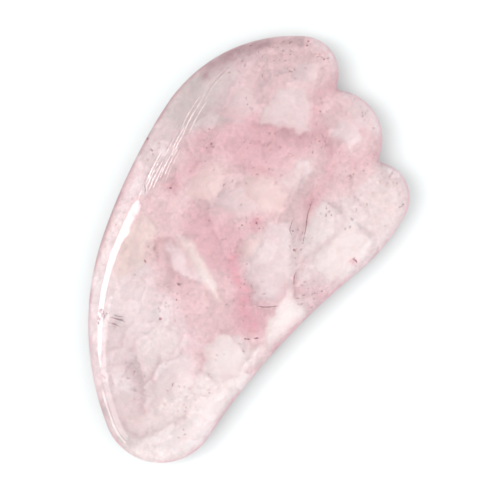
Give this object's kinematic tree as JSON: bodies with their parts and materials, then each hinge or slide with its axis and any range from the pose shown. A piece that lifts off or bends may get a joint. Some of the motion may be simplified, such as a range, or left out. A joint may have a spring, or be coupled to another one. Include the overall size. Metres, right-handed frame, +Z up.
{
  "type": "gua sha scraper",
  "caption": "Flat polished stone scraping board with a big convex back, a slightly hollow working edge, a round tip and a scalloped end with rounded teeth.",
  "frame": {"origin": "centre of the board's bounding box, on the flat face that it lies on", "axes": "+X along the working edge from the round tip towards the teeth, +Y from the working edge to the convex back, +Z up through the thickness"},
  "size_m": [0.085, 0.0504, 0.0064],
  "materials": {
    "rose_quartz": "polished, slightly translucent"
  },
  "bodies": {
    "root": {"stone_board": "rose_quartz"}
  },
  "joints": []
}
